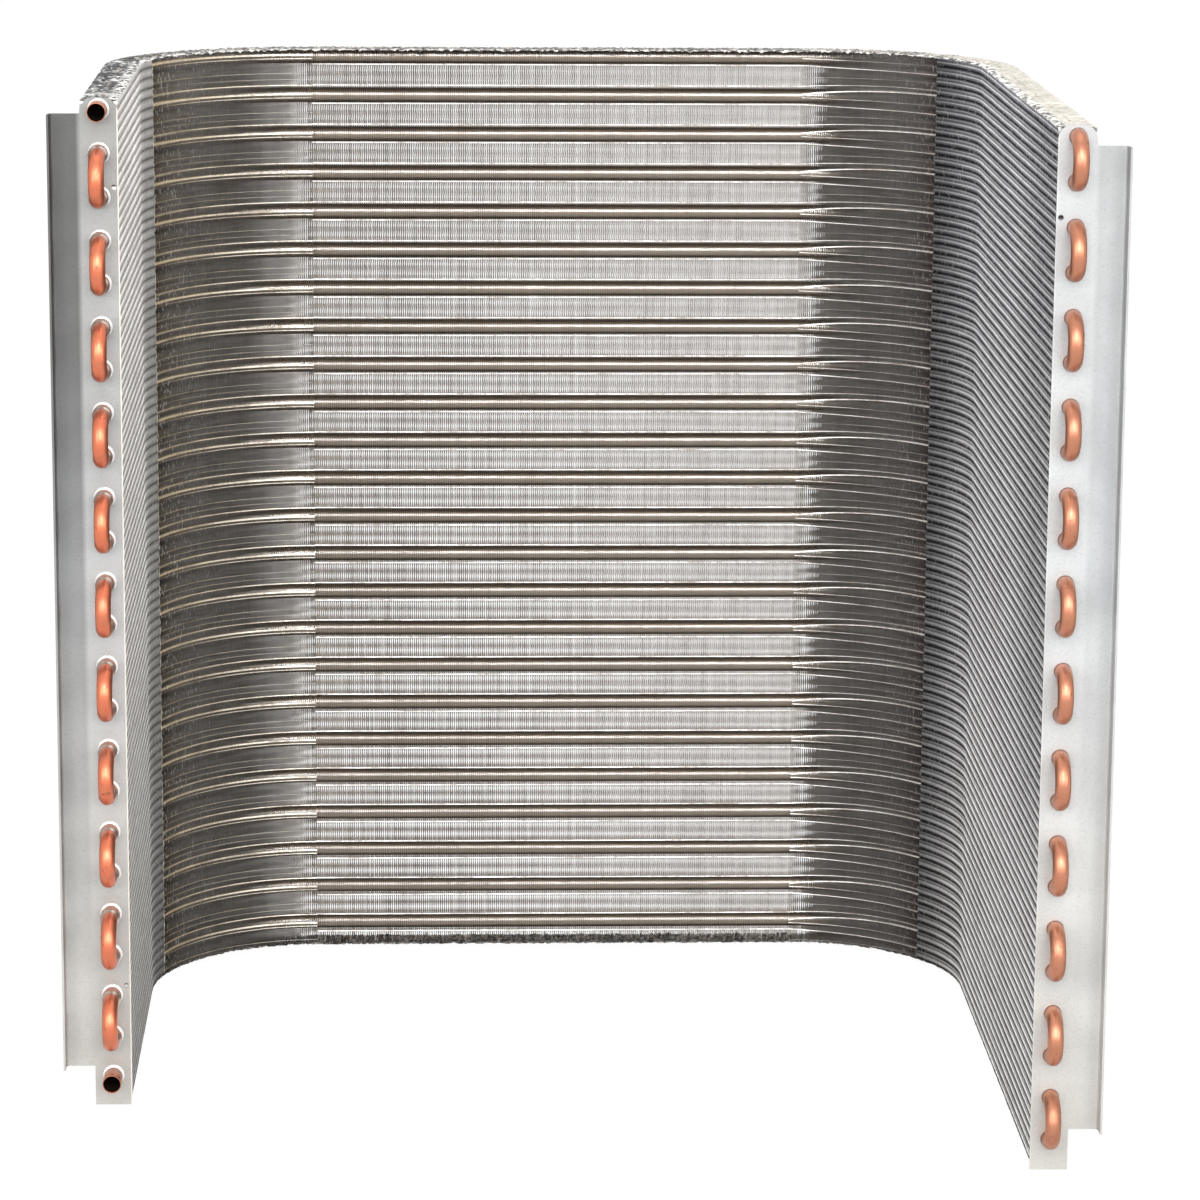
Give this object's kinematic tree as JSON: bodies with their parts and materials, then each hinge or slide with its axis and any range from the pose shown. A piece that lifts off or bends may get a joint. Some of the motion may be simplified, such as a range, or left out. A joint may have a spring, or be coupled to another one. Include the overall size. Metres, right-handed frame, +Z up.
{
  "type": "condenser coil",
  "caption": "U-shaped single-row finned tube coil with galvanised end plates, hairpin tubes and brazed return bends.",
  "frame": {"origin": "under the middle of the coil's box, on the surface that the feet of the end plates stand on", "axes": "+Z up along the end plates, +Y from the open side towards the back run, +X to the right seen from the open side"},
  "size_m": [0.6098, 0.4924, 0.6096],
  "materials": {
    "fins": "thin bright fin stock, satin",
    "copper": "bare copper tube, lightly oxidised",
    "galvanised": "hot-dip galvanised sheet, faint spangle"
  },
  "bodies": {
    "root": {"finned_tube_coil": "fins", "left_end_plate": "galvanised", "right_end_plate": "galvanised", "return_bend_01": "copper", "return_bend_02": "copper", "return_bend_03": "copper", "return_bend_04": "copper", "return_bend_05": "copper", "return_bend_06": "copper", "return_bend_07": "copper", "return_bend_08": "copper", "return_bend_09": "copper", "return_bend_10": "copper", "return_bend_11": "copper"}
  },
  "joints": []
}
